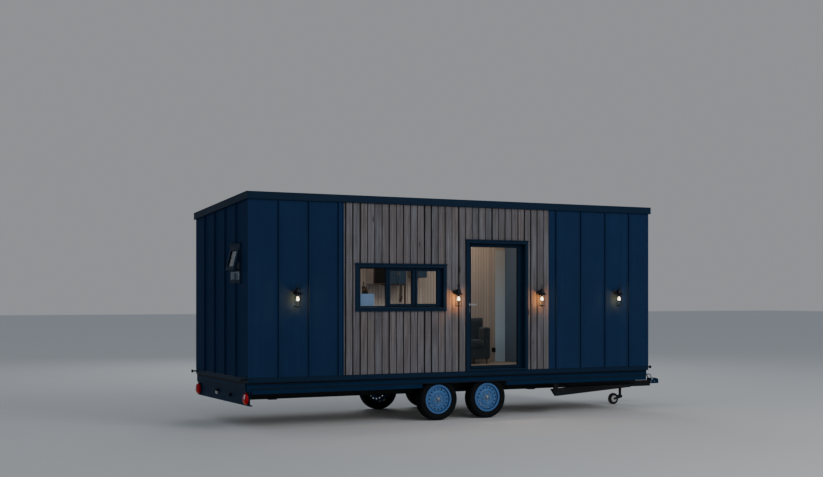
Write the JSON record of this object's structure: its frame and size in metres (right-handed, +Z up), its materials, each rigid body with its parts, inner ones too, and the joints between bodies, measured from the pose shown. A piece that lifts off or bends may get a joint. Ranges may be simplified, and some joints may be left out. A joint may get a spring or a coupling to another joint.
{
  "type": "tiny house on a tandem-axle trailer",
  "caption": "Hollow mono-pitch tiny house clad in standing-seam metal and timber, on a towable chassis with turning wheels, an opening door and a jockey wheel.",
  "frame": {"origin": "middle of the footprint at ground level", "axes": "+X towards the towing coupling, +Y away from the door side, +Z up"},
  "size_m": [8.4776, 2.7318, 3.452],
  "materials": {
    "deck_board": "plywood floor",
    "navy_metal": "matt coil-coated sheet",
    "navy_frame": "matt powder coat",
    "wall_lining": "varnished vertical boards",
    "roof_sheet": "matt coil-coated sheet",
    "weathered_timber": "weathered grey-brown",
    "clear_glass": "clear",
    "satin_steel": "satin",
    "lantern_black": "satin",
    "lit_bulb": "warm frosted",
    "chassis_steel": "satin paint",
    "axle_steel": "satin paint",
    "galvanised": "zinc",
    "rim_silver": "silver",
    "tyre": "black",
    "solid_rubber": "black",
    "lamp_red": "moulded lens",
    "partition_panel": "painted",
    "cabinet_blue": "painted",
    "fridge_white": "gloss enamel",
    "chair_fabric": "woven"
  },
  "bodies": {
    "house": {"floor_deck": "deck_board", "base_flashing": "navy_metal", "back_wall": "wall_lining", "rear_end_wall": "wall_lining", "drawbar_end_wall": "wall_lining", "front_wall_rear": "wall_lining", "front_wall_over_door": "wall_lining", "front_wall_ahead": "wall_lining", "roof": "roof_sheet", "roof_fascia": "navy_metal", "front_metal_cladding": "navy_metal", "timber_cladding": "weathered_timber", "back_cladding": "navy_metal", "rear_end_cladding": "navy_metal", "drawbar_end_cladding": "navy_metal", "window_frame": "navy_frame", "window_sashes": "navy_frame", "window_glass": "clear_glass", "rear_window_frame": "navy_frame", "rear_window_sash": "navy_frame", "rear_window_glass": "clear_glass", "door_casing": "navy_frame", "lantern_metal": "lantern_black", "lantern_glass": "clear_glass", "lantern_bulbs": "lit_bulb", "side_rails": "chassis_steel", "rear_rail": "chassis_steel", "main_beams": "axle_steel", "cross_members": "axle_steel", "drawbar": "axle_steel", "coupling_head": "chassis_steel", "jockey_mount": "axle_steel", "axle_rear": "axle_steel", "axle_front": "axle_steel", "partition": "partition_panel", "wall_cabinets": "cabinet_blue", "fridge": "fridge_white", "armchair": "chair_fabric", "light_board": "chassis_steel", "tail_lamps": "lamp_red", "marker_lamps": "solid_rubber"},
    "door": {"door_leaf": "navy_frame", "door_glass": "clear_glass", "door_handles": "satin_steel"},
    "coupling_handle": {"coupling_handle": "galvanised"},
    "jockey_leg": {"jockey_leg": "axle_steel"},
    "jockey_fork": {"jockey_fork": "axle_steel"},
    "jockey_wheel": {"jockey_wheel": "solid_rubber"},
    "wheel_rear_near": {"rim_rear_near": "rim_silver", "tyre_rear_near": "tyre"},
    "wheel_rear_far": {"rim_rear_far": "rim_silver", "tyre_rear_far": "tyre"},
    "wheel_front_near": {"rim_front_near": "rim_silver", "tyre_front_near": "tyre"},
    "wheel_front_far": {"rim_front_far": "rim_silver", "tyre_front_far": "tyre"}
  },
  "joints": [
    {"name": "door_hinge", "type": "hinge", "parent": "house", "child": "door", "pos_m": [0.55934, -1.036, 1.78], "axis": [0, 0, -1], "range_deg": [0, 90]},
    {"name": "coupling_handle_lift", "type": "hinge", "parent": "house", "child": "coupling_handle", "pos_m": [4.06384, 0.086, 0.425], "axis": [0, 1, 0], "range_deg": [0, 40]},
    {"name": "jockey_lift", "type": "slide", "parent": "house", "child": "jockey_leg", "axis": [0, 0, 1], "range_m": [0, 0.09]},
    {"name": "jockey_swivel", "type": "hinge", "parent": "jockey_leg", "child": "jockey_fork", "pos_m": [3.37884, 0.086, 0.15], "axis": [0, 0, 1], "continuous": true},
    {"name": "jockey_spin", "type": "hinge", "parent": "jockey_fork", "child": "jockey_wheel", "pos_m": [3.22884, 0.086, 0.1], "axis": [0, 1, 0], "continuous": true},
    {"name": "wheel_spin_rear_near", "type": "hinge", "parent": "house", "child": "wheel_rear_near", "pos_m": [-0.96116, -0.979, 0.33], "axis": [0, 1, 0], "continuous": true},
    {"name": "wheel_spin_rear_far", "type": "hinge", "parent": "house", "child": "wheel_rear_far", "pos_m": [-0.96116, 1.151, 0.33], "axis": [0, 1, 0], "continuous": true},
    {"name": "wheel_spin_front_near", "type": "hinge", "parent": "house", "child": "wheel_front_near", "pos_m": [-0.07716, -0.979, 0.33], "axis": [0, 1, 0], "continuous": true},
    {"name": "wheel_spin_front_far", "type": "hinge", "parent": "house", "child": "wheel_front_far", "pos_m": [-0.07716, 1.151, 0.33], "axis": [0, 1, 0], "continuous": true}
  ]
}
